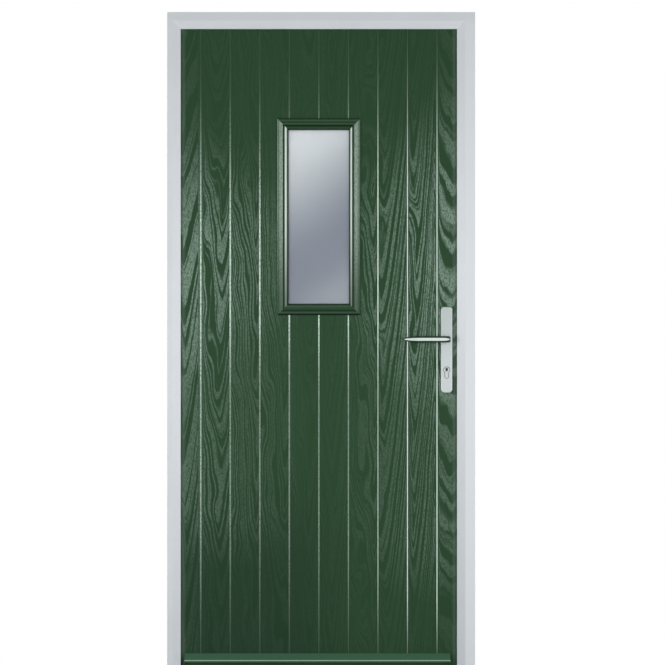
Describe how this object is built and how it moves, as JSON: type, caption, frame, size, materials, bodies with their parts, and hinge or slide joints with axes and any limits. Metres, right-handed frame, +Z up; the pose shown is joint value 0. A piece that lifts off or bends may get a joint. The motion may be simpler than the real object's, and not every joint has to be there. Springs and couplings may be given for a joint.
{
  "type": "front door with frame",
  "caption": "Vertically boarded composite front door with a glazed light, lever handles and a key-driven hook lock, hung on flag hinges in a mitred frame with a low threshold.",
  "frame": {"origin": "on the floor under the threshold, midway across the frame and midway through the leaf", "axes": "X across the door with the hinges at minus X and the handle at plus X, Y from the outside to the room, Z up"},
  "size_m": [0.924, 0.16, 2],
  "materials": {
    "frame_white": "smooth pale grey-white extruded plastic",
    "threshold_aluminium": "satin anodised",
    "seal_rubber": "matt black gasket",
    "hinge_white": "powder coated white",
    "leaf_green": "dark green moulded skin with an embossed wood grain",
    "leaf_timber": "planed engineered timber",
    "leaf_foam": "rigid insulating foam",
    "cassette_green": "dark green moulded surround, lightly grained",
    "satin_glass": "satin etched, obscured",
    "clear_glass": "clear toughened",
    "spacer_bar": "warm-edge spacer bar",
    "packer_plastic": "moulded glazing packer",
    "zinc_steel": "zinc plated",
    "lock_steel": "brushed stainless strip",
    "bar_green": "dark green coated aluminium, satin",
    "handle_silver": "satin silver",
    "cylinder_nickel": "satin nickel plated"
  },
  "bodies": {
    "frame_set": {"frame_head": "frame_white", "hinge_jamb": "frame_white", "lock_jamb": "frame_white", "threshold": "threshold_aluminium", "weather_seal": "seal_rubber", "threshold_seal": "seal_rubber", "centre_keep": "lock_steel", "upper_hook_keep": "lock_steel", "lower_hook_keep": "lock_steel", "keep_screws": "zinc_steel", "upper_frame_hinge": "hinge_white", "middle_frame_hinge": "hinge_white", "lower_frame_hinge": "hinge_white", "hinge_pins": "zinc_steel", "frame_hinge_screws": "zinc_steel"},
    "leaf_set": {"outer_skin": "leaf_green", "inner_skin": "leaf_green", "hinge_stile": "leaf_timber", "lock_stile": "leaf_timber", "top_rail": "leaf_timber", "bottom_rail": "leaf_timber", "foam_core": "leaf_foam", "outer_cassette": "cassette_green", "inner_cassette": "cassette_green", "outer_pane": "satin_glass", "inner_pane": "clear_glass", "glazing_spacer": "spacer_bar", "outer_glazing_seal": "seal_rubber", "inner_glazing_seal": "seal_rubber", "setting_blocks": "packer_plastic", "cassette_screws": "zinc_steel", "weather_bar": "bar_green", "weather_bar_caps": "bar_green", "bottom_seal": "seal_rubber", "lock_faceplate": "lock_steel", "lock_case": "zinc_steel", "upper_hook_case": "zinc_steel", "lower_hook_case": "zinc_steel", "faceplate_screws": "zinc_steel", "outer_backplate": "handle_silver", "inner_backplate": "handle_silver", "handle_bolts": "zinc_steel", "cylinder_body": "cylinder_nickel", "cylinder_screw": "zinc_steel", "upper_leaf_hinge": "hinge_white", "middle_leaf_hinge": "hinge_white", "lower_leaf_hinge": "hinge_white", "leaf_hinge_screws": "zinc_steel"},
    "lever_set": {"outer_lever": "handle_silver", "inner_lever": "handle_silver", "spindle": "zinc_steel", "follower": "zinc_steel"},
    "latch_set": {"latch_bolt": "cylinder_nickel"},
    "deadbolt_set": {"deadbolt": "cylinder_nickel"},
    "upper_hook_set": {"upper_hook": "cylinder_nickel"},
    "lower_hook_set": {"lower_hook": "cylinder_nickel"},
    "key_set": {"cylinder_plug": "cylinder_nickel", "thumbturn": "handle_silver"},
    "drive_set": {"drive_rods": "zinc_steel"}
  },
  "joints": [
    {"name": "door_swing", "type": "hinge", "parent": "frame_set", "child": "leaf_set", "pos_m": [-0.438, 0.031, 1], "axis": [0, 0, 1], "range_deg": [0, 95]},
    {"name": "lever_turn", "type": "hinge", "parent": "leaf_set", "child": "lever_set", "pos_m": [0.377, 0, 1.018], "axis": [0, -1, 0], "range_deg": [0, 40], "stiffness_Nm_per_rad": 4, "springref_deg": -20.05},
    {"name": "latch_slide", "type": "slide", "parent": "leaf_set", "child": "latch_set", "axis": [1, 0, 0], "range_m": [0, 0.012]},
    {"name": "key_turn", "type": "hinge", "parent": "leaf_set", "child": "key_set", "pos_m": [0.377, 0, 0.926], "axis": [0, 1, 0], "range_deg": [0, 360]},
    {"name": "deadbolt_slide", "type": "slide", "parent": "leaf_set", "child": "deadbolt_set", "axis": [1, 0, 0], "range_m": [0, 0.02]},
    {"name": "upper_hook_turn", "type": "hinge", "parent": "leaf_set", "child": "upper_hook_set", "pos_m": [0.404, 0, 1.618], "axis": [0, 1, 0], "range_deg": [0, 90]},
    {"name": "lower_hook_turn", "type": "hinge", "parent": "leaf_set", "child": "lower_hook_set", "pos_m": [0.404, 0, 0.418], "axis": [0, 1, 0], "range_deg": [0, 90]},
    {"name": "drive_slide", "type": "slide", "parent": "leaf_set", "child": "drive_set", "axis": [0, 0, 1], "range_m": [0, 0.018]}
  ],
  "couplings": [
    {"joint": "key_turn", "follows": "drive_slide", "rad_per_m": 349.06},
    {"joint": "deadbolt_slide", "follows": "drive_slide", "ratio": 1.1111},
    {"joint": "upper_hook_turn", "follows": "drive_slide", "rad_per_m": 87.26},
    {"joint": "lower_hook_turn", "follows": "drive_slide", "rad_per_m": 87.26}
  ]
}
